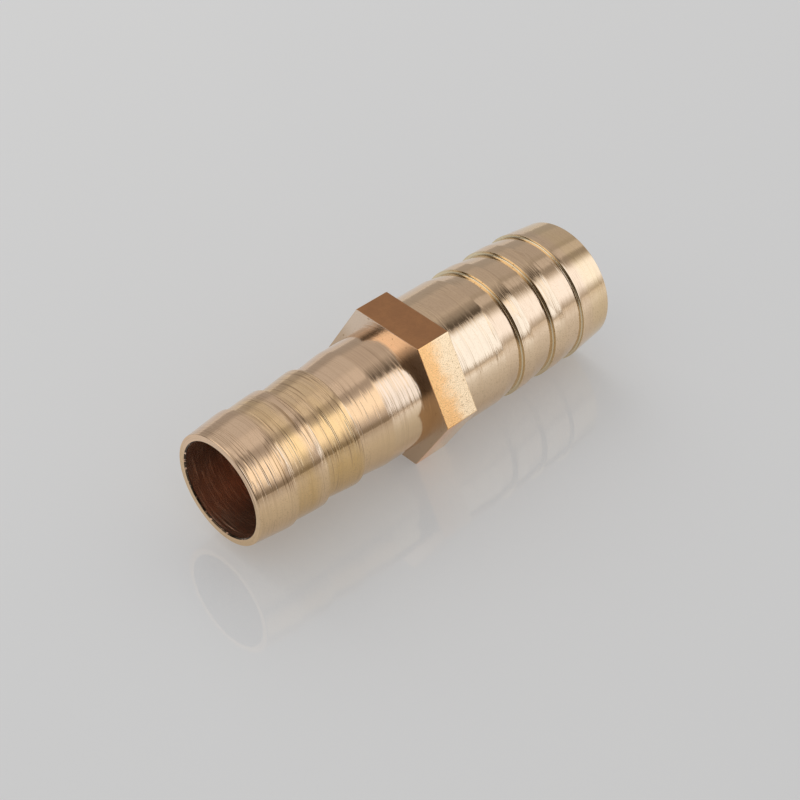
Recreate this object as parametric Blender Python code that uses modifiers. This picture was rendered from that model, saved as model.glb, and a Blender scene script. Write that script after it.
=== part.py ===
"""Hose barb reducer turned from one bar of brass, for joining a 19 mm hose to a 16 mm hose.

The fitting lies along X, small end towards -X, at rest on one flat of its hexagon collar. The origin is on
the ground under the middle of its length. Sizes are in metres.
"""
import math
from collections import namedtuple

import bmesh
import bpy

MM = 0.001

# One barb, counted from the free end: its whole length, the level stretch behind its crest, and how far the
# sharp step behind the crest drops.
Barb = namedtuple("Barb", "length land step")

# Small end
SMALL_LENGTH = 30.2 * MM
SMALL_BORE_D = 14.4 * MM
SMALL_TIP_WALL = 1.13 * MM
SMALL_RIDGE_HEIGHT = 0.63 * MM
SMALL_NECK_WALL = 1.73 * MM
SMALL_NECK_TAPER = 5.5 * MM
SMALL_BARBS = (
    Barb(length=6.0 * MM, land=0.8 * MM, step=0.35 * MM),
    Barb(length=5.6 * MM, land=1.3 * MM, step=0.66 * MM),
    Barb(length=6.2 * MM, land=0.7 * MM, step=0.68 * MM),
)

# Large end
LARGE_LENGTH = 30.0 * MM
LARGE_BORE_D = 16.4 * MM
LARGE_TIP_WALL = 1.28 * MM
LARGE_RIDGE_HEIGHT = 0.67 * MM
LARGE_NECK_WALL = 1.89 * MM
LARGE_NECK_TAPER = 3.5 * MM
LARGE_BARBS = (
    Barb(length=6.05 * MM, land=0.25 * MM, step=0.42 * MM),
    Barb(length=5.95 * MM, land=2.2 * MM, step=0.55 * MM),
    Barb(length=6.4 * MM, land=2.2 * MM, step=0.55 * MM),
)

# Hexagon collar, which stands clear of the large ridges so that a spanner passes over them
SPANNER_CLEARANCE = 0.35 * MM
COLLAR_THICKNESS = 5.8 * MM
COLLAR_CORNER_ROUND = 0.15 * MM

# The tool's nose leaves a small round in every hollow corner, which takes at most this share of its face's height.
TOOL_NOSE_RADIUS = 0.3 * MM
HOLLOW_CORNER_SHARE = 0.75

# The wide bore runs under the collar and ends in the cone that its drill leaves.
SHOULDER_DEPTH = 1.5 * MM
DRILL_POINT_ANGLE = math.radians(118)

TIP_EDGE_BREAK = 0.15 * MM
TURNED_STEPS = 96
HOLLOW_CORNER_STEPS = 2
CORNER_STEPS = 2
CUTTER_REACH = 2.0 * MM
MERGE_DISTANCE = 0.00001
SHARP_ANGLE = math.radians(25)
ALONG_X = (0, math.radians(90), 0)

# Worked out from the sizes above
SMALL_TIP_R = SMALL_BORE_D / 2 + SMALL_TIP_WALL
SMALL_RIDGE_R = SMALL_TIP_R + SMALL_RIDGE_HEIGHT
SMALL_NECK_R = SMALL_BORE_D / 2 + SMALL_NECK_WALL
LARGE_TIP_R = LARGE_BORE_D / 2 + LARGE_TIP_WALL
LARGE_RIDGE_R = LARGE_TIP_R + LARGE_RIDGE_HEIGHT
LARGE_NECK_R = LARGE_BORE_D / 2 + LARGE_NECK_WALL
COLLAR_APOTHEM = LARGE_RIDGE_R + SPANNER_CLEARANCE
AXIS_HEIGHT = COLLAR_APOTHEM
SMALL_FACE = -(SMALL_LENGTH + COLLAR_THICKNESS + LARGE_LENGTH) / 2
LARGE_FACE = -SMALL_FACE
COLLAR_SMALL_FACE = SMALL_FACE + SMALL_LENGTH
COLLAR_LARGE_FACE = LARGE_FACE - LARGE_LENGTH
COLLAR_MIDDLE = (COLLAR_SMALL_FACE + COLLAR_LARGE_FACE) / 2


def hollow_corner(face, side, foot_r, height):
    """Points (place, radius) of the round between a face of this height and the surface at its foot, from the
    face outward. The side is 1 when the surface lies beyond the face and -1 when it lies before it."""
    radius = min(TOOL_NOSE_RADIUS, HOLLOW_CORNER_SHARE * height)
    points = []
    for step in range(HOLLOW_CORNER_STEPS + 1):
        turn = math.pi / 2 * step / HOLLOW_CORNER_STEPS
        points.append((face + side * radius * (1 - math.cos(turn)), foot_r + radius * (1 - math.sin(turn))))
    return points


def barbed_outline(barbs, tip_r, ridge_r, neck_r, neck_taper):
    """Points (distance from the end face, radius) from the axis at the face to the level part of the neck."""
    points = [(0.0, 0.0), (0.0, tip_r - TIP_EDGE_BREAK), (TIP_EDGE_BREAK, tip_r)]
    start = 0.0
    for barb in barbs:
        end = start + barb.length
        points.append((end - barb.land, ridge_r))
        points.append((end, ridge_r))
        points.extend(hollow_corner(end, 1, ridge_r - barb.step, barb.step))
        start = end
    points.append((start + neck_taper, neck_r))
    return points


def body_outline():
    """Outer outline from the large face down to the small face, as (place along the axis, radius)."""
    large = barbed_outline(LARGE_BARBS, LARGE_TIP_R, LARGE_RIDGE_R, LARGE_NECK_R, LARGE_NECK_TAPER)
    small = barbed_outline(SMALL_BARBS, SMALL_TIP_R, SMALL_RIDGE_R, SMALL_NECK_R, SMALL_NECK_TAPER)
    large_root = hollow_corner(COLLAR_LARGE_FACE, 1, LARGE_NECK_R, COLLAR_APOTHEM - LARGE_NECK_R)
    small_root = hollow_corner(COLLAR_SMALL_FACE, -1, SMALL_NECK_R, COLLAR_APOTHEM - SMALL_NECK_R)
    outline = [(LARGE_FACE - distance, radius) for distance, radius in large]
    outline.extend(reversed(large_root))
    outline.append((COLLAR_MIDDLE, large_root[0][1]))
    outline.append((COLLAR_MIDDLE, small_root[0][1]))
    outline.extend(small_root)
    outline.extend((SMALL_FACE + distance, radius) for distance, radius in reversed(small))
    return outline


def bore_outline():
    """Outline of the stepped bore, which runs past both end faces."""
    large_r = LARGE_BORE_D / 2
    small_r = SMALL_BORE_D / 2
    shoulder = COLLAR_LARGE_FACE - SHOULDER_DEPTH
    cone_length = (large_r - small_r) / math.tan(DRILL_POINT_ANGLE / 2)
    top = LARGE_FACE + CUTTER_REACH
    bottom = SMALL_FACE - CUTTER_REACH
    return [
        (top, 0.0),
        (top, large_r),
        (shoulder, large_r),
        (shoulder - cone_length, small_r),
        (bottom, small_r),
        (bottom, 0.0),
    ]


def link_mesh(name, bm, collection):
    mesh = bpy.data.meshes.new(name)
    bm.to_mesh(mesh)
    bm.free()
    obj = bpy.data.objects.new(name, mesh)
    obj.location = (0, 0, AXIS_HEIGHT)
    obj.rotation_euler = ALONG_X
    collection.objects.link(obj)
    return obj


def turned(name, outline, collection):
    """An outline spun about the fitting's axis with a Screw modifier."""
    bm = bmesh.new()
    verts = [bm.verts.new((radius, 0, place)) for place, radius in outline]
    for first, second in zip(verts, verts[1:]):
        bm.edges.new((first, second))
    obj = link_mesh(name, bm, collection)
    screw = obj.modifiers.new("Turn", "SCREW")
    screw.angle = math.tau
    screw.steps = TURNED_STEPS
    screw.render_steps = TURNED_STEPS
    screw.use_merge_vertices = True
    screw.merge_threshold = MERGE_DISTANCE
    return obj


def hexagon_collar(collection):
    """The spanner hexagon, one corner towards each side, its long edges rounded."""
    bm = bmesh.new()
    corner_r = COLLAR_APOTHEM / math.cos(math.pi / 6)
    bmesh.ops.create_cone(
        bm, cap_ends=True, segments=6, radius1=corner_r, radius2=corner_r, depth=COLLAR_THICKNESS
    )
    bmesh.ops.translate(bm, verts=bm.verts, vec=(0, 0, COLLAR_MIDDLE))
    long_edges = [edge for edge in bm.edges if abs(edge.verts[0].co.z - edge.verts[1].co.z) > MERGE_DISTANCE]
    bmesh.ops.bevel(
        bm, geom=long_edges, offset=COLLAR_CORNER_ROUND, segments=CORNER_STEPS, profile=0.5, affect="EDGES"
    )
    return link_mesh("hexagon_collar", bm, collection)


def combine(obj, other, operation):
    boolean = obj.modifiers.new(f"{operation} {other.name}", "BOOLEAN")
    boolean.operation = operation
    boolean.object = other
    other.hide_render = True
    other.display_type = "WIRE"


def brass():
    material = bpy.data.materials.new("brass")
    material.use_nodes = True
    shader = material.node_tree.nodes["Principled BSDF"]
    shader.inputs["Base Color"].default_value = (0.66, 0.45, 0.27, 1)
    shader.inputs["Metallic"].default_value = 1.0
    shader.inputs["Roughness"].default_value = 0.3
    return material


def shade(obj):
    """Applies the modifiers, then shades the turned faces smooth and keeps the steps and edges crisp."""
    depsgraph = bpy.context.evaluated_depsgraph_get()
    mesh = bpy.data.meshes.new_from_object(obj.evaluated_get(depsgraph))
    obj.modifiers.clear()
    obj.data = mesh
    mesh.shade_smooth()
    mesh.set_sharp_from_angle(angle=SHARP_ANGLE)


def clear_scene():
    for obj in list(bpy.data.objects):
        bpy.data.objects.remove(obj, do_unlink=True)


def build():
    clear_scene()
    parts = bpy.data.collections.new("hose_barb_reducer")
    cutters = bpy.data.collections.new("cutters")
    bpy.context.scene.collection.children.link(parts)
    bpy.context.scene.collection.children.link(cutters)

    body = turned("reducer_body", body_outline(), parts)
    combine(body, hexagon_collar(cutters), "UNION")
    combine(body, turned("bore", bore_outline(), cutters), "DIFFERENCE")
    shade(body)
    body.data.materials.clear()
    body.data.materials.append(brass())


build()
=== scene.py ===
"""Looks of the brass hose barb reducer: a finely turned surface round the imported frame, on a glossy floor.

Everything is in metres, in the frame's axes: X along the bore towards the large end, Z up.
"""
import math
from collections import namedtuple

import bmesh
import bpy
from mathutils import Matrix, Vector


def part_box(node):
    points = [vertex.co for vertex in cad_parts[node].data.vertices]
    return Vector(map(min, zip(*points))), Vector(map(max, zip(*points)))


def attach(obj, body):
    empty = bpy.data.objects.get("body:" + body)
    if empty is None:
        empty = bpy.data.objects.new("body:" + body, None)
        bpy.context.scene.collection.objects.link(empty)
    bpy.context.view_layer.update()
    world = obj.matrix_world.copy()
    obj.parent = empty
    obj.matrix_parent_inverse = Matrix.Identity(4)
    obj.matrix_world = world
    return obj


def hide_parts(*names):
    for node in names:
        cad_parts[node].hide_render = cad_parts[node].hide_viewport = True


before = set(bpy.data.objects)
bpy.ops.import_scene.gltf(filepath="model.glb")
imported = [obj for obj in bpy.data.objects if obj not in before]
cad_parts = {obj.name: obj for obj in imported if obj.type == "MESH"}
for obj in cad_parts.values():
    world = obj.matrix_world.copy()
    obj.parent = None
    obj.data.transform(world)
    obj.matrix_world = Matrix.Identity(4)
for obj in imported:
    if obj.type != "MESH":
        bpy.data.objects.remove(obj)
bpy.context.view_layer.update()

MM = 0.001
PIECE = "turned_reducer"
NODE = "reducer_body"

# The photograph's camera, solved from the collar's corners, the bore and the ridges
IMAGE_PIXELS = 800
FOCAL_PIXELS = 1923.7
SENSOR_WIDTH = 36.0
VIEW_AZIMUTH = math.radians(-44.18)
VIEW_ELEVATION = math.radians(40.89)
VIEW_ROLL = math.radians(0.465)
VIEW_DISTANCE = 272.1 * MM
VIEW_TARGET = Vector((-0.12 * MM, 0.0, 6.67 * MM))
CLIP_START = 10 * MM
CLIP_END = 20.0

# The node's own box gives the end faces and the collar
LOW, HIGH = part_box(NODE)
SMALL_FACE = LOW.x
LARGE_FACE = HIGH.x
COLLAR_APOTHEM = HIGH.z / 2
AXIS_HEIGHT = COLLAR_APOTHEM
SMALL_LENGTH = 30.2 * MM
LARGE_LENGTH = 30.0 * MM
COLLAR_SMALL_FACE = SMALL_FACE + SMALL_LENGTH
COLLAR_LARGE_FACE = LARGE_FACE - LARGE_LENGTH
COLLAR_MIDDLE = (COLLAR_SMALL_FACE + COLLAR_LARGE_FACE) / 2
COLLAR_THICKNESS = COLLAR_LARGE_FACE - COLLAR_SMALL_FACE

# The bore
SMALL_BORE_R = 7.2 * MM
LARGE_BORE_R = 8.2 * MM
SHOULDER_DEPTH = 1.5 * MM
DRILL_POINT_ANGLE = math.radians(118)

# One barb: its whole length, the level land before its crest, and the drop of the step behind the crest
Barb = namedtuple("Barb", "length land step")

# One barbed end, its barbs counted from the tip: the land rises a little towards each crest
End = namedtuple("End", "barbs land_rise land_ease tip_r ridge_r neck_r neck_taper")
SMALL_END = End(
    barbs=(
        Barb(6.0 * MM, 0.8 * MM, 0.35 * MM),
        Barb(5.6 * MM, 1.3 * MM, 0.66 * MM),
        Barb(6.2 * MM, 0.7 * MM, 0.68 * MM),
    ),
    land_rise=0.04 * MM,
    land_ease=0.3 * MM,
    tip_r=8.33 * MM,
    ridge_r=8.96 * MM,
    neck_r=8.93 * MM,
    neck_taper=5.5 * MM,
)
LARGE_END = End(
    barbs=(
        Barb(6.05 * MM, 0.25 * MM, 0.42 * MM),
        Barb(5.95 * MM, 2.2 * MM, 0.55 * MM),
        Barb(6.4 * MM, 2.2 * MM, 0.55 * MM),
    ),
    land_rise=0.0,
    land_ease=0.1 * MM,
    tip_r=9.48 * MM,
    ridge_r=10.15 * MM,
    neck_r=10.09 * MM,
    neck_taper=3.5 * MM,
)

# How far each kind of edge is eased
TIP_EASE = 0.15 * MM
CREST_EASE = 0.04 * MM
FOOT_EASE = 0.3 * MM
BORE_EASE = 0.18 * MM
COLLAR_CORNER_ROUND = 0.15 * MM
COLLAR_EDGE_EASE = 0.12 * MM

# The mesh
TURNED_STEPS = 288
ARC_STEPS = 6
CORNER_STEPS = 3
RIM_STEPS = 2
EASE_SHARE = 0.75
CUTTER_REACH = 2 * MM
MERGE_DISTANCE = 0.000001
SHARP_ANGLE = math.radians(32)
ROUND_OFF = 0.02 * MM

# The finishes, in the order of the mesh's material slots, and how a face's normal tells them apart
FINISHES = ("small_end", "large_end", "top_flat", "side_flat", "bore", "collar_face", "step")
LOOKS_UP = 0.9
LOOKS_ALONG = 0.5
SQUARE_TO_BORE = 0.95

# The place of a point on the lathe: X along the bore, the radius, and the cosine and sine of its angle. The
# sine is 1 at the top.
Lathe = namedtuple("Lathe", "x radius cosine sine")

# Marks drawn out round the axis: their pitch along the profile, the length of turn in which they fade, the
# noise's detail, and an offset that sets them apart from the other marks
Marks = namedtuple("Marks", "pitch length detail offset")
FEED = Marks(0.22 * MM, 12 * MM, 1.0, 0.0)
WAVES = Marks(1.6 * MM, 60 * MM, 2.0, 31.0)
WORKED = Marks(2 * MM, 12 * MM, 1.0, 9.0)
TOOL_LINES = (Marks(0.8 * MM, 12 * MM, 1.0, 77.0), Marks(0.6 * MM, 8 * MM, 1.0, 15.0))
SMALL_GRAIN = Marks(0.15 * MM, 10 * MM, 1.0, 63.0)
LARGE_GRAIN = SMALL_GRAIN._replace(length=2.5 * MM)
MOTTLE = Marks(3 * MM, 12 * MM, 3.0, 5.0)
FACE_RINGS = Marks(0.2 * MM, 20 * MM, 2.0, 0.0)
FACE_PITS = Marks(0.5 * MM, 0.5 * MM, 1.0, 3.0)
BORE_RINGS = Marks(0.4 * MM, 8 * MM, 2.0, 0.0)
BORE_NICKS = Marks(0.6 * MM, 0.6 * MM, 1.0, 8.0)
BORE_SCRATCHES = Marks(0.25 * MM, 5 * MM, 2.0, 41.0)

# Marks with no direction: how many to the metre, the noise's detail, and an offset
Spots = namedtuple("Spots", "scale detail offset")
SPECKS = Spots(4500.0, 1.0, 11.0)
TOP_GRAIN = Spots(5000.0, 2.0, 0.0)
TOP_CLOUD = Spots(500.0, 3.0, 1.0)
FLAT_BORDER = Spots(400.0, 4.0, 2.0)
FLAT_GRAIN = Spots(6000.0, 1.0, 4.0)
FLAT_PITS = Spots(2200.0, 1.0, 7.0)

# The levels of a noise between which its marks fade in
PATCH_LEVELS = (0.5, 0.58)
GRAIN_LEVELS = (0.54, 0.64)
SPECK_LEVELS = (0.54, 0.66)
MOTTLE_LEVELS = (0.3, 0.7)
FACE_PIT_LEVELS = (0.68, 0.72)
NICK_LEVELS = (0.58, 0.64)
SCRATCH_LEVELS = (0.5, 0.64)
CLOUD_LEVELS = (0.35, 0.65)
TOP_GRAIN_LEVELS = (0.45, 0.75)
FLAT_PIT_LEVELS = (0.66, 0.70)
FLAT_GRAIN_LEVELS = (0.50, 0.66)

# A turned end's look: its tan and golden brass, each with a darker, warmer copy for the lower side that is
# painted shade, and where the golden brass lies. Then come the heights and strengths of its marks, which calm
# down between the two places along X of calm.
Turning = namedtuple(
    "Turning",
    "roughness tan deep_tan gold deep_gold gilded comb waves groove stain grain grain_marks specks calm",
)
SMALL_TURNING = Turning(
    roughness=0.10,
    tan=(0.89, 0.64, 0.44),
    # The darker tan and gold below are painted shade for the lower side
    deep_tan=(0.79, 0.565, 0.335),
    gold=(0.91, 0.645, 0.36),
    deep_gold=(0.71, 0.47, 0.20),
    gilded=((SMALL_FACE + 6.2 * MM, SMALL_FACE + 9.6 * MM), (SMALL_FACE + 11.6 * MM, SMALL_FACE + 17.6 * MM)),
    comb=0.016 * MM,
    waves=0.0024 * MM,
    groove=0.016 * MM,
    stain=0.30,
    grain=0.90,
    grain_marks=SMALL_GRAIN,
    specks=0.30,
    calm=(SMALL_FACE + 18 * MM, SMALL_FACE + 21 * MM),
)
LARGE_TURNING = Turning(
    roughness=0.07,
    tan=(0.92, 0.68, 0.46),
    # The darker tan and gold below are painted shade for the lower side
    deep_tan=(0.83, 0.605, 0.385),
    gold=(0.94, 0.705, 0.43),
    deep_gold=(0.81, 0.59, 0.33),
    gilded=((LARGE_FACE - 4 * MM, LARGE_FACE + 1 * MM),),
    comb=0.030 * MM,
    waves=0.0012 * MM,
    groove=0.003 * MM,
    stain=0.15,
    grain=0.30,
    grain_marks=LARGE_GRAIN,
    specks=0.35,
    calm=(LARGE_FACE, LARGE_FACE + 1 * MM),
)

# What both turned ends share. The painted shade of the lower side gives way to the upper one between two
# sines.
TURNED_ANISOTROPY = 0.8
ACROSS_THE_MARKS = 0.25
LINE_LENGTH = 100 * MM
LINE_WIDTH = 0.045
STRETCH_OFFSET = 21.0
WORKED_SHARE = 0.3
MOTTLE_SHARE = 0.4
CALM_SHARE = 0.35
UPPER_SPECK_SHARE = 0.4
MARKED_SIDE = math.radians(55)
SIDE_STRENGTH_REACH = (0.5, 0.9)
FAR_SIDE_SHARE = 0.5
LOWER_SIDE = (0.1, 0.6)
GOLD_BLUR = 2 * MM
GROOVE_COLOUR = (0.42, 0.27, 0.15)

# The collar's faces and the steps, turned square to the axis
COLLAR_FACE_ROUGHNESS = 0.26
# The collar face: a darker colour for its lower side as painted shade, and a lighter one above
COLLAR_FACE_SHADED = (0.66, 0.49, 0.34)
COLLAR_FACE_LIT = (0.84, 0.68, 0.54)
STEP_ROUGHNESS = 0.2
STEP_COLOUR = (0.82, 0.70, 0.48)
FACE_RING_HEIGHT = 0.02 * MM
FACE_PIT_SHARE = 0.8
FACE_LOWER_SIDE = (0.3, 0.8)

# The collar's flats
TOP_ROUGHNESS = 0.32
TOP_COLOUR = (0.50, 0.245, 0.115)
TOP_CLOUD_COLOUR = (0.56, 0.275, 0.125)
TOP_GRAIN_COLOUR = (0.36, 0.18, 0.09)
TOP_GRAIN_SHARE = 0.35
FLAT_GRAIN_HEIGHT = 0.008 * MM
FLAT_ROUGHNESS = 0.12
FLAT_ORANGE = (1.0, 0.53, 0.205)
FLAT_PALE = (1.0, 0.70, 0.41)
FLAT_DARK = (0.45, 0.25, 0.12)
FLAT_PIT_SHARE = 0.6
FLAT_GRAIN_SHARE = 0.30
PALE_FROM = COLLAR_SMALL_FACE + 0.8 * MM
PALE_TO = COLLAR_SMALL_FACE + 4.4 * MM
PALE_RAGGEDNESS = 5 * MM

# The bore's finish
BORE_ROUGHNESS = 0.22
BORE_ANISOTROPY = 0.7
BORE_METALLIC = 0.94
BORE_RING_HEIGHT = 0.10 * MM
BORE_COLOUR = (0.72, 0.455, 0.315)
# Scratch lines painted lighter, as painted glints
BORE_SCRATCH_GLINT_COLOUR = (1.0, 0.74, 0.55)
# Painted shade on the edge of each mouth
BORE_MOUTH_SHADE_COLOUR = (0.09, 0.06, 0.04)

# The floor and its lamp
FLOOR_SIZE = 6.0
FLOOR_COLOUR = (0.62, 0.62, 0.62, 1.0)
FLOOR_ROUGHNESS = 0.03
FLOOR_GLOW_COLOUR = (1.0, 1.0, 1.0, 1.0)
FLOOR_GLOW = 0.20
FLOOR_LAMP_SIZE = 0.45
FLOOR_LAMP_WATTS = 0.7
FLOOR_LAMP_PLACE = Vector((0.1, 0.45, 0.4))

# The soft boxes and the dark gaps between them, laid over the room's light one after the other. Angle and
# reach each give a start, its blur, an end and its blur, the angles in degrees. A leaning box rises by
# BOX_RISE as the reach grows by 1.
PLAIN_ROOM = (0.525, 0.525, 0.525)
ROOM_LIGHT = (0.50, 0.48, 0.46)
BOX_RISE = math.radians(80)
SOFT_BOXES = (
    {"angle": (152, 16, 180, 14), "light": (0.38, 0.37, 0.36)},
    {"angle": (80, 14, 112, 20), "light": (0.66, 0.64, 0.62), "reach": (0.0, 0.1, 0.42, 0.16)},
    {"angle": (84, 14, 120, 30), "light": (0.56, 0.54, 0.53), "reach": (0.68, 0.06, 1.2, 0.1)},
    {"angle": (112, 20, 152, 16), "light": (0.56, 0.55, 0.54), "reach": (0.0, 0.1, 0.42, 0.16)},
    {"angle": (106, 16, 152, 16), "light": (0.44, 0.42, 0.41), "reach": (0.54, 0.06, 1.2, 0.1)},
    {"angle": (23, 24, 60, 12), "light": (1.16, 1.12, 1.00), "reach": (0.10, 0.12, 0.52, 0.06), "lean": 0.30},
    {"angle": (23, 24, 60, 22), "light": (1.08, 1.10, 1.12), "reach": (0.52, 0.06, 1.2, 0.1)},
    {"angle": (12, 24, 60, 26), "light": (1.12, 1.22, 1.42), "reach": (0.69, 0.08, 1.2, 0.1)},
    {
        "angle": (3.5, 11, 64, 14),
        "light": (1.14, 1.31, 1.56),
        "reach": (0.49, 0.06, 0.66, 0.06),
        "lean": 0.54,
    },
    {"angle": (69, 6, 80, 8), "light": (0.40, 0.38, 0.36), "reach": (0.10, 0.1, 1.2, 0.1), "lean": 0.30},
    {"angle": (73, 8, 86, 8), "light": (0.33, 0.31, 0.29), "reach": (0.69, 0.06, 1.2, 0.1)},
    {"angle": (71, 4, 88, 24), "light": (0.10, 0.09, 0.08), "reach": (0.48, 0.06, 0.66, 0.06), "lean": 0.54},
    {"angle": (-5, 1, 10, 12), "light": (0.27, 0.245, 0.21), "reach": (-1.2, 0.1, 0.514, 0.014)},
    {"angle": (-5, 10, 80, 14), "light": (0.07, 0.06, 0.05), "reach": (-1.2, 0.1, 0.08, 0.16)},
    {"angle": (94, 14, 150, 20), "light": (1.28, 1.24, 1.18), "reach": (-0.75, 0.2, -0.08, 0.2)},
    {"angle": (150, 10, 170, 8), "light": (0.05, 0.04, 0.03), "reach": (-0.8, 0.2, -0.2, 0.2)},
)


def eased(corners):
    """Replaces each corner (place, radius, ease) by a short curve that starts and ends one ease from it."""
    points = []
    for i, (x, r, ease) in enumerate(corners):
        if ease == 0 or i in (0, len(corners) - 1):
            points.append((x, r))
            continue
        corner = Vector((x, r))
        before = Vector(corners[i - 1][:2]) - corner
        after = Vector(corners[i + 1][:2]) - corner
        reach = min(ease, EASE_SHARE * before.length, EASE_SHARE * after.length)
        start = corner + before.normalized() * reach
        end = corner + after.normalized() * reach
        for step in range(ARC_STEPS + 1):
            t = step / ARC_STEPS
            point = start * (1 - t) ** 2 + corner * 2 * t * (1 - t) + end * t**2
            points.append((point.x, point.y))
    return points


def barbed_corners(end):
    """Corners (distance from the end face, radius, ease) from the axis to the level part of the neck."""
    corners = [(0.0, 0.0, 0.0), (0.0, end.tip_r, TIP_EASE)]
    start = 0.0
    for barb in end.barbs:
        crest = start + barb.length
        corners.append((crest - barb.land, end.ridge_r - end.land_rise, end.land_ease))
        corners.append((crest, end.ridge_r, CREST_EASE))
        corners.append((crest, end.ridge_r - barb.step, FOOT_EASE))
        start = crest
    corners.append((start + end.neck_taper, end.neck_r, end.land_ease))
    return corners


def body_outline():
    """Outer outline from the large face down to the small face, as (place along the axis, radius)."""
    corners = [(LARGE_FACE - x, r, ease) for x, r, ease in barbed_corners(LARGE_END)]
    corners.append((COLLAR_MIDDLE, LARGE_END.neck_r, 0.0))
    corners.append((COLLAR_MIDDLE, SMALL_END.neck_r, 0.0))
    corners.extend((SMALL_FACE + x, r, ease) for x, r, ease in reversed(barbed_corners(SMALL_END)))
    return eased(corners)


def bore_outline():
    """The stepped bore, flared a little at both mouths where its edge is eased."""
    shoulder = COLLAR_LARGE_FACE - SHOULDER_DEPTH
    cone = (LARGE_BORE_R - SMALL_BORE_R) / math.tan(DRILL_POINT_ANGLE / 2)
    return [
        (LARGE_FACE + CUTTER_REACH, 0.0),
        (LARGE_FACE + CUTTER_REACH, LARGE_BORE_R + BORE_EASE + CUTTER_REACH),
        (LARGE_FACE - BORE_EASE, LARGE_BORE_R),
        (shoulder, LARGE_BORE_R),
        (shoulder - cone, SMALL_BORE_R),
        (SMALL_FACE + BORE_EASE, SMALL_BORE_R),
        (SMALL_FACE - CUTTER_REACH, SMALL_BORE_R + BORE_EASE + CUTTER_REACH),
        (SMALL_FACE - CUTTER_REACH, 0.0),
    ]


def link_mesh(name, bm):
    """An object whose mesh was drawn about local Z, laid down so that Z runs along the fitting."""
    mesh = bpy.data.meshes.new(name)
    bm.transform(Matrix.Translation((0, 0, AXIS_HEIGHT)) @ Matrix.Rotation(math.radians(90), 4, "Y"))
    bm.to_mesh(mesh)
    bm.free()
    obj = bpy.data.objects.new(name, mesh)
    bpy.context.scene.collection.objects.link(obj)
    return obj


def turned(name, outline):
    """A closed mesh, spun from an outline that starts and ends on the axis."""
    bm = bmesh.new()
    ring = [bm.verts.new((r, 0, x)) for x, r in outline]
    edges = [bm.edges.new(pair) for pair in zip(ring, ring[1:])]
    bmesh.ops.spin(
        bm,
        geom=ring + edges,
        cent=(0, 0, 0),
        axis=(0, 0, 1),
        angle=math.tau,
        steps=TURNED_STEPS,
        use_merge=True,
        use_duplicate=False,
    )
    bmesh.ops.remove_doubles(bm, verts=bm.verts, dist=MERGE_DISTANCE)
    bmesh.ops.recalc_face_normals(bm, faces=bm.faces)
    return link_mesh(name, bm)


def hexagon():
    """The collar, its long edges rounded and the rim of each face eased."""
    bm = bmesh.new()
    corner_r = COLLAR_APOTHEM / math.cos(math.pi / 6)
    bmesh.ops.create_cone(
        bm, cap_ends=True, segments=6, radius1=corner_r, radius2=corner_r, depth=COLLAR_THICKNESS
    )
    bmesh.ops.translate(bm, verts=bm.verts, vec=(0, 0, COLLAR_MIDDLE))
    long_edges = [e for e in bm.edges if abs(e.verts[0].co.z - e.verts[1].co.z) > MERGE_DISTANCE]
    bevel(bm, long_edges, COLLAR_CORNER_ROUND, CORNER_STEPS)
    rim = [e for e in bm.edges if any(len(f.verts) > 4 for f in e.link_faces)]
    bevel(bm, rim, COLLAR_EDGE_EASE, RIM_STEPS)
    return link_mesh("hexagon", bm)


def bevel(bm, edges, offset, steps):
    bmesh.ops.bevel(bm, geom=edges, offset=offset, segments=steps, profile=0.5, affect="EDGES")


def combine(obj, other, operation):
    boolean = obj.modifiers.new(operation, "BOOLEAN")
    boolean.operation = operation
    boolean.object = other


def apply_modifiers(obj):
    depsgraph = bpy.context.evaluated_depsgraph_get()
    mesh = bpy.data.meshes.new_from_object(obj.evaluated_get(depsgraph))
    obj.modifiers.clear()
    obj.data = mesh


def weld(obj):
    """Joins the doubled points that the cuts leave where two rings meet."""
    bm = bmesh.new()
    bm.from_mesh(obj.data)
    bmesh.ops.remove_doubles(bm, verts=bm.verts, dist=MERGE_DISTANCE)
    bmesh.ops.dissolve_degenerate(bm, edges=bm.edges, dist=MERGE_DISTANCE)
    bm.to_mesh(obj.data)
    bm.free()


def turned_reducer():
    """The whole fitting as one closed mesh."""
    obj = turned(PIECE, body_outline())
    collar = hexagon()
    bore = turned("bore_cutter", bore_outline())
    combine(obj, collar, "UNION")
    combine(obj, bore, "DIFFERENCE")
    apply_modifiers(obj)
    weld(obj)
    for helper in (collar, bore):
        bpy.data.objects.remove(helper, do_unlink=True)
    obj.data.shade_smooth()
    obj.data.set_sharp_from_angle(angle=SHARP_ANGLE)
    weighted = obj.modifiers.new("weighted_normals", "WEIGHTED_NORMAL")
    weighted.keep_sharp = True
    apply_modifiers(obj)
    return obj


def finish_for(centre, normal):
    """The slot of the finish that the face has, from where it lies and which way it looks."""
    radius = math.hypot(centre.y, centre.z - AXIS_HEIGHT)
    on_collar = COLLAR_SMALL_FACE - ROUND_OFF < centre.x < COLLAR_LARGE_FACE + ROUND_OFF
    if on_collar and radius > COLLAR_APOTHEM - ROUND_OFF and abs(normal.x) < LOOKS_ALONG:
        return FINISHES.index("top_flat" if normal.z > LOOKS_UP else "side_flat")
    inward = normal.y * centre.y + normal.z * (centre.z - AXIS_HEIGHT) < 0
    if inward and radius < LARGE_BORE_R + BORE_EASE and abs(normal.x) < SQUARE_TO_BORE:
        return FINISHES.index("bore")
    at_tip = centre.x < SMALL_FACE + TIP_EASE or centre.x > LARGE_FACE - TIP_EASE
    if abs(normal.x) > LOOKS_ALONG and not at_tip:
        return FINISHES.index("collar_face" if on_collar else "step")
    return FINISHES.index("small_end" if centre.x < COLLAR_MIDDLE else "large_end")


def paint_faces(obj, materials):
    obj.data.materials.clear()
    for material in materials:
        obj.data.materials.append(material)
    for face in obj.data.polygons:
        face.material_index = finish_for(face.center, face.normal)


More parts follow.
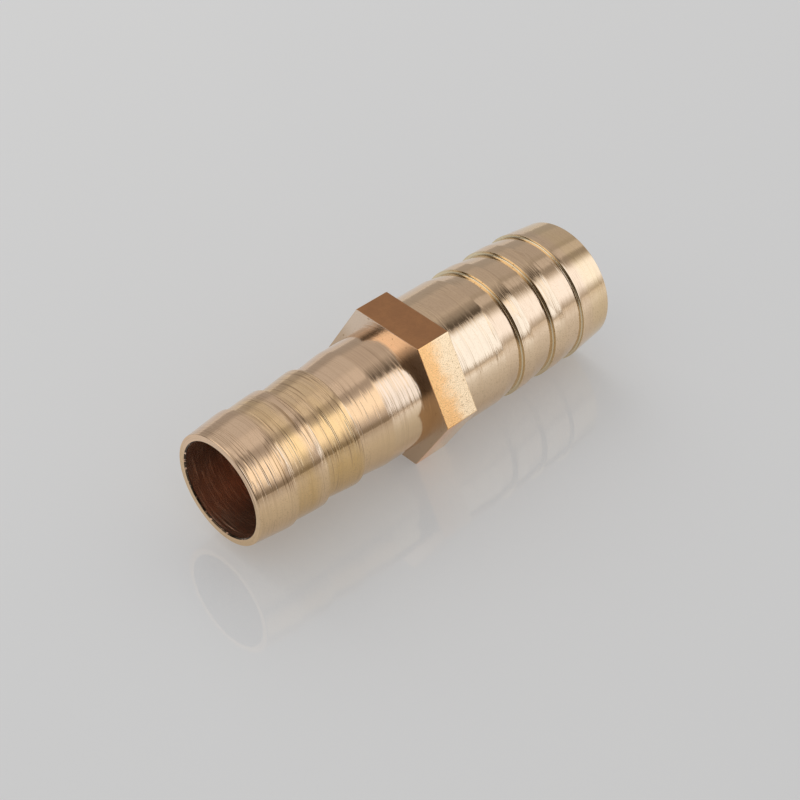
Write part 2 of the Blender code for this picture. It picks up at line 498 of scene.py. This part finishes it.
def add(tree, kind, inputs=None, **settings):
    """A new node: a socket given for an input is linked to it, and anything else becomes its value."""
    node = tree.nodes.new("ShaderNode" + kind)
    for name, value in settings.items():
        setattr(node, name, value)
    for name, value in (inputs or {}).items():
        if isinstance(value, bpy.types.NodeSocket):
            tree.links.new(value, node.inputs[name])
        else:
            node.inputs[name].default_value = value
    return node


def maths(tree, operation, a, b=0.0):
    return add(tree, "Math", {0: a, 1: b}, operation=operation).outputs[0]


def remap(tree, value, low, high, out_low=0.0, out_high=1.0):
    """A smooth step from one level to another."""
    inputs = {"Value": value, "From Min": low, "From Max": high, "To Min": out_low, "To Max": out_high}
    return add(tree, "MapRange", inputs, interpolation_type="SMOOTHSTEP").outputs["Result"]


def window(tree, value, start, start_blur, end, end_blur):
    """1 between start and end, fading to 0 over a blur at each."""
    rise = remap(tree, value, start - start_blur / 2, start + start_blur / 2)
    fall = remap(tree, value, end - end_blur / 2, end + end_blur / 2, 1.0, 0.0)
    return maths(tree, "MULTIPLY", rise, fall)


def blend_colours(tree, share, first, second):
    """The first colour, giving way to the second by a share from 0 to 1."""
    node = add(tree, "Mix", {"Factor": share}, data_type="RGBA", blend_type="MIX")
    for name, value in ((6, first), (7, second)):
        if isinstance(value, bpy.types.NodeSocket):
            tree.links.new(value, node.inputs[name])
        else:
            node.inputs[name].default_value = (*value, 1.0)
    return node.outputs[2]


def lathe_coordinates(tree):
    place = add(tree, "SeparateXYZ", {0: add(tree, "TexCoord").outputs["Object"]})
    width = place.outputs["Y"]
    height = maths(tree, "SUBTRACT", place.outputs["Z"], AXIS_HEIGHT)
    squares = maths(tree, "ADD", maths(tree, "POWER", width, 2.0), maths(tree, "POWER", height, 2.0))
    radius = maths(tree, "SQRT", squares)
    cosine = maths(tree, "DIVIDE", width, radius)
    sine = maths(tree, "DIVIDE", height, radius)
    return Lathe(place.outputs["X"], radius, cosine, sine)


def lathe_noise(tree, lathe, marks):
    """Noise drawn out round the axis, where 4 dimensions keep it free of a seam."""
    reach = LARGE_END.ridge_r / marks.length
    along = maths(tree, "ADD", maths(tree, "DIVIDE", lathe.x, marks.pitch), marks.offset)
    across = maths(tree, "DIVIDE", lathe.radius, marks.pitch)
    turn = maths(tree, "MULTIPLY", lathe.cosine, reach)
    inputs = {
        "Vector": add(tree, "CombineXYZ", {0: along, 1: across, 2: turn}).outputs[0],
        "W": maths(tree, "MULTIPLY", lathe.sine, reach),
        "Scale": 1.0,
        "Detail": marks.detail,
        "Roughness": 0.6,
    }
    return add(tree, "TexNoise", inputs, noise_dimensions="4D").outputs["Fac"]


def spot_noise(tree, spots):
    """Noise that is the same in all directions."""
    place = add(tree, "TexCoord").outputs["Object"]
    moved = add(tree, "Mapping", {"Vector": place, "Location": (spots.offset, 0.0, 0.0)}).outputs[0]
    inputs = {"Vector": moved, "Scale": spots.scale, "Detail": spots.detail, "Roughness": 0.7}
    return add(tree, "TexNoise", inputs).outputs["Fac"]


def metal(name, roughness, anisotropy=0.0, metallic=1.0):
    """A Principled metal whose blur runs across the tool marks: the material, its nodes and the shader."""
    material = bpy.data.materials.new(name)
    material.use_nodes = True
    tree = material.node_tree
    shader = tree.nodes["Principled BSDF"]
    shader.inputs["Metallic"].default_value = metallic
    shader.inputs["Roughness"].default_value = roughness
    if anisotropy:
        shader.inputs["Anisotropic"].default_value = anisotropy
        shader.inputs["Anisotropic Rotation"].default_value = ACROSS_THE_MARKS
        tangent = add(tree, "Tangent", direction_type="RADIAL", axis="X")
        tree.links.new(tangent.outputs[0], shader.inputs["Tangent"])
    return material, tree, shader


def emboss(tree, shader, height, distance=1.0):
    """Raises the surface by the height times the distance in metres."""
    bump = add(tree, "Bump", {"Height": height, "Distance": distance, "Strength": 1.0})
    tree.links.new(bump.outputs[0], shader.inputs["Normal"])


def patches_of(tree, lathe, marks):
    """Long patches round the axis, 1 inside and 0 between them."""
    return remap(tree, lathe_noise(tree, lathe, marks), *PATCH_LEVELS)


def broken_lines(tree, lathe, marks):
    """Thin tool lines, drawn where a noise crosses its middle and broken into stretches."""
    noise = lathe_noise(tree, lathe, marks._replace(length=LINE_LENGTH))
    away = maths(tree, "ABSOLUTE", maths(tree, "SUBTRACT", noise, 0.5))
    lines = remap(tree, away, 0.0, LINE_WIDTH, 1.0, 0.0)
    stretches = patches_of(tree, lathe, marks._replace(offset=marks.offset + STRETCH_OFFSET))
    return maths(tree, "MULTIPLY", lines, stretches)


def gilding(tree, lathe, spans):
    """How golden the metal is: the spans along X, mottled."""
    total = 0.0
    for start, end in spans:
        total = maths(tree, "ADD", total, window(tree, lathe.x, start, GOLD_BLUR, end, GOLD_BLUR))
    mottle = remap(tree, lathe_noise(tree, lathe, MOTTLE), *MOTTLE_LEVELS, MOTTLE_SHARE, 1.0)
    return maths(tree, "MULTIPLY", total, mottle)


def side_strength(tree, lathe):
    """How strong the marks are: full on the side at MARKED_SIDE, and fainter away from it."""
    up = maths(tree, "MULTIPLY", lathe.sine, math.sin(MARKED_SIDE))
    back = maths(tree, "MULTIPLY", lathe.cosine, math.cos(MARKED_SIDE))
    return remap(tree, maths(tree, "SUBTRACT", up, back), *SIDE_STRENGTH_REACH, FAR_SIDE_SHARE, 1.0)


def turned_height(tree, lathe, look, worked, lines):
    """The comb of feed marks, deeper where the tool worked harder, with slow waves and thin grooves."""
    feed = lathe_noise(tree, lathe, FEED)
    waves = lathe_noise(tree, lathe, WAVES)
    height = maths(tree, "MULTIPLY", maths(tree, "MULTIPLY", feed, worked), look.comb)
    height = maths(tree, "ADD", height, maths(tree, "MULTIPLY", waves, look.waves))
    return maths(tree, "SUBTRACT", height, maths(tree, "MULTIPLY", lines, look.groove))


def turned_colour(tree, lathe, look):
    """Golden stretches among tan ones, both darker on the lower side as painted shade."""
    upward = remap(tree, lathe.sine, *LOWER_SIDE)
    tan = blend_colours(tree, upward, look.deep_tan, look.tan)
    gold = blend_colours(tree, upward, look.deep_gold, look.gold)
    return blend_colours(tree, gilding(tree, lathe, look.gilded), tan, gold)


def turned_finish(name, look):
    """Turned brass: its marks in relief, and dark grooves, grain and specks over its two colours."""
    material, tree, shader = metal(name, look.roughness, TURNED_ANISOTROPY)
    lathe = lathe_coordinates(tree)
    worked = remap(tree, patches_of(tree, lathe, WORKED), 0.0, 1.0, WORKED_SHARE, 1.0)
    lines = maths(tree, "MAXIMUM", *(broken_lines(tree, lathe, marks) for marks in TOOL_LINES))
    calm = remap(tree, lathe.x, *look.calm, 1.0, CALM_SHARE)
    mark_strength = maths(tree, "MULTIPLY", calm, side_strength(tree, lathe))
    height = turned_height(tree, lathe, look, worked, lines)
    emboss(tree, shader, maths(tree, "MULTIPLY", height, mark_strength))

    grain = remap(tree, lathe_noise(tree, lathe, look.grain_marks), *GRAIN_LEVELS, 0.0, look.grain)
    grain = maths(tree, "MULTIPLY", grain, worked)
    stain = maths(tree, "MAXIMUM", maths(tree, "MULTIPLY", lines, look.stain), grain)
    stain = maths(tree, "MULTIPLY", stain, mark_strength)
    specks = remap(tree, spot_noise(tree, SPECKS), *SPECK_LEVELS, 0.0, look.specks)
    # Fewer specks on the upper side
    specks = maths(tree, "MULTIPLY", specks, remap(tree, lathe.sine, *LOWER_SIDE, 1.0, UPPER_SPECK_SHARE))
    stain = maths(tree, "MAXIMUM", stain, maths(tree, "MULTIPLY", specks, calm))
    colour = blend_colours(tree, stain, turned_colour(tree, lathe, look), GROOVE_COLOUR)
    tree.links.new(colour, shader.inputs["Base Color"])
    return material


def faced_finish(name, roughness, shaded_colour, lit_colour):
    """Brass turned square to the axis, with rings and a few pits, and a painted shade: the first colour
    towards the floor.
    """
    material, tree, shader = metal(name, roughness)
    lathe = lathe_coordinates(tree)
    emboss(tree, shader, lathe_noise(tree, lathe, FACE_RINGS), FACE_RING_HEIGHT)
    # Painted shade: the first colour on the lower side, giving way to the second above
    colour = blend_colours(tree, remap(tree, lathe.sine, *FACE_LOWER_SIDE), shaded_colour, lit_colour)
    pits = remap(tree, lathe_noise(tree, lathe, FACE_PITS), *FACE_PIT_LEVELS)
    colour = blend_colours(tree, maths(tree, "MULTIPLY", pits, FACE_PIT_SHARE), colour, GROOVE_COLOUR)
    tree.links.new(colour, shader.inputs["Base Color"])
    return material


def top_flat_finish():
    """The drawn bar's skin on the flat that looks up: smooth and copper brown, darker than the other flats.
    """
    material, tree, shader = metal("top_flat", TOP_ROUGHNESS)
    grain = spot_noise(tree, TOP_GRAIN)
    emboss(tree, shader, grain, FLAT_GRAIN_HEIGHT)
    cloud = remap(tree, spot_noise(tree, TOP_CLOUD), *CLOUD_LEVELS)
    colour = blend_colours(tree, cloud, TOP_COLOUR, TOP_CLOUD_COLOUR)
    dark = remap(tree, grain, *TOP_GRAIN_LEVELS, 0.0, TOP_GRAIN_SHARE)
    colour = blend_colours(tree, dark, colour, TOP_GRAIN_COLOUR)
    tree.links.new(colour, shader.inputs["Base Color"])
    return material


def side_flat_finish():
    """The skin on the other flats: orange towards the small end, pale and pitted towards the large end."""
    material, tree, shader = metal("side_flat", FLAT_ROUGHNESS)
    border = maths(tree, "SUBTRACT", spot_noise(tree, FLAT_BORDER), 0.5)
    border = maths(tree, "ADD", lathe_coordinates(tree).x, maths(tree, "MULTIPLY", border, PALE_RAGGEDNESS))
    pale = remap(tree, border, PALE_FROM, PALE_TO)
    grain = spot_noise(tree, FLAT_GRAIN)
    emboss(tree, shader, grain, FLAT_GRAIN_HEIGHT)
    pits = maths(tree, "MULTIPLY", remap(tree, spot_noise(tree, FLAT_PITS), *FLAT_PIT_LEVELS), pale)
    pits = maths(tree, "MULTIPLY", pits, FLAT_PIT_SHARE)
    dark = maths(tree, "MAXIMUM", pits, remap(tree, grain, *FLAT_GRAIN_LEVELS, 0.0, FLAT_GRAIN_SHARE))
    colour = blend_colours(tree, pale, FLAT_ORANGE, FLAT_PALE)
    tree.links.new(blend_colours(tree, dark, colour, FLAT_DARK), shader.inputs["Base Color"])
    return material


def bore_finish():
    """The drilled bore: rings round it, scratch lines painted lighter as glints, and painted shade on each
    mouth's nicked edge.
    """
    material, tree, shader = metal("bore", BORE_ROUGHNESS, BORE_ANISOTROPY, BORE_METALLIC)
    lathe = lathe_coordinates(tree)
    emboss(tree, shader, lathe_noise(tree, lathe, BORE_RINGS), BORE_RING_HEIGHT)
    from_small = maths(tree, "SUBTRACT", lathe.x, SMALL_FACE)
    from_large = maths(tree, "SUBTRACT", LARGE_FACE, lathe.x)
    depth = maths(tree, "MINIMUM", from_small, from_large)
    mouth = remap(tree, depth, BORE_EASE, 2 * BORE_EASE, 1.0, 0.0)
    nicks = remap(tree, lathe_noise(tree, lathe, BORE_NICKS), *NICK_LEVELS)
    # The edge of each mouth is painted dark as shade, except where it is nicked
    mouth_shade = maths(tree, "MULTIPLY", mouth, maths(tree, "SUBTRACT", 1.0, nicks))
    # Tool scratch lines round the bore, painted lighter as glints
    scratch_glints = remap(tree, lathe_noise(tree, lathe, BORE_SCRATCHES), *SCRATCH_LEVELS)
    colour = blend_colours(tree, scratch_glints, BORE_COLOUR, BORE_SCRATCH_GLINT_COLOUR)
    colour = blend_colours(tree, mouth_shade, colour, BORE_MOUTH_SHADE_COLOUR)
    tree.links.new(colour, shader.inputs["Base Color"])
    return material


def brass_finishes():
    """The materials, in the order of FINISHES."""
    return (
        turned_finish("small_end", SMALL_TURNING),
        turned_finish("large_end", LARGE_TURNING),
        top_flat_finish(),
        side_flat_finish(),
        bore_finish(),
        faced_finish("collar_face", COLLAR_FACE_ROUGHNESS, COLLAR_FACE_SHADED, COLLAR_FACE_LIT),
        faced_finish("step", STEP_ROUGHNESS, STEP_COLOUR, STEP_COLOUR),
    )


def view_camera():
    back = Vector((
        math.sin(VIEW_AZIMUTH) * math.cos(VIEW_ELEVATION),
        -math.cos(VIEW_AZIMUTH) * math.cos(VIEW_ELEVATION),
        math.sin(VIEW_ELEVATION),
    ))
    data = bpy.data.cameras.new("view_camera")
    data.sensor_width = SENSOR_WIDTH
    data.lens = FOCAL_PIXELS * SENSOR_WIDTH / IMAGE_PIXELS
    data.clip_start = CLIP_START
    data.clip_end = CLIP_END
    camera = bpy.data.objects.new("view_camera", data)
    bpy.context.scene.collection.objects.link(camera)
    turn = back.to_track_quat("Z", "Y").to_matrix().to_4x4()
    roll = Matrix.Rotation(VIEW_ROLL, 4, "Z")
    camera.matrix_world = Matrix.Translation(VIEW_TARGET + back * VIEW_DISTANCE) @ turn @ roll
    bpy.context.scene.camera = camera


def floor():
    bpy.ops.mesh.primitive_plane_add(size=FLOOR_SIZE)
    plane = bpy.context.object
    plane.name = "floor"
    material = bpy.data.materials.new("floor")
    material.use_nodes = True
    shader = material.node_tree.nodes["Principled BSDF"]
    shader.inputs["Base Color"].default_value = FLOOR_COLOUR
    shader.inputs["Roughness"].default_value = FLOOR_ROUGHNESS
    shader.inputs["Emission Color"].default_value = FLOOR_GLOW_COLOUR
    shader.inputs["Emission Strength"].default_value = FLOOR_GLOW
    plane.data.materials.append(material)


def soft_box(tree, angle, reach, light, box):
    """Lays one box or dark gap over the light so far. The angles of a leaning one hold where the reach is
    equal to its lean."""
    low, low_blur, high, high_blur = (math.radians(v) for v in box["angle"])
    if "lean" in box:
        shift = maths(tree, "MULTIPLY", maths(tree, "SUBTRACT", reach, box["lean"]), BOX_RISE)
        angle = maths(tree, "SUBTRACT", angle, shift)
    share = window(tree, angle, low, low_blur, high, high_blur)
    if "reach" in box:
        share = maths(tree, "MULTIPLY", share, window(tree, reach, *box["reach"]))
    return blend_colours(tree, share, light, box["light"])


def studio():
    """Soft boxes that run along the fitting, drawn on the sky by their angle about the X axis.

    The angle is 0 degrees at the horizon on the -Y side, 90 overhead and 180 at the +Y horizon. Reach is the
    X part of the direction: 0 is square to the fitting, 1 straight along it past the large end. Only
    reflections see the boxes. Everything else sees a plain pale room.
    """
    world = bpy.data.worlds.new("studio")
    bpy.context.scene.world = world
    world.use_nodes = True
    tree = world.node_tree
    direction = add(tree, "SeparateXYZ", {0: add(tree, "TexCoord").outputs["Generated"]})
    towards = maths(tree, "MULTIPLY", direction.outputs["Y"], -1.0)
    angle = maths(tree, "ARCTAN2", direction.outputs["Z"], towards)
    light = ROOM_LIGHT
    for box in SOFT_BOXES:
        light = soft_box(tree, angle, direction.outputs["X"], light, box)
    in_metal = add(tree, "LightPath").outputs["Is Glossy Ray"]
    light = blend_colours(tree, in_metal, PLAIN_ROOM, light)
    tree.links.new(light, tree.nodes["Background"].inputs["Color"])
    bpy.context.scene.view_settings.view_transform = "Standard"


def floor_lamp():
    """A broad lamp on the far side for the floor's sake, which the metal doesn't mirror."""
    data = bpy.data.lights.new("floor_lamp", "AREA")
    data.size = FLOOR_LAMP_SIZE
    data.energy = FLOOR_LAMP_WATTS
    lamp = bpy.data.objects.new("floor_lamp", data)
    lamp.location = FLOOR_LAMP_PLACE
    lamp.rotation_euler = FLOOR_LAMP_PLACE.to_track_quat("Z", "Y").to_euler()
    lamp.visible_glossy = False
    bpy.context.scene.collection.objects.link(lamp)


body = turned_reducer()
paint_faces(body, brass_finishes())
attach(body, "root")
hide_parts(NODE)
floor()
studio()
floor_lamp()
view_camera()
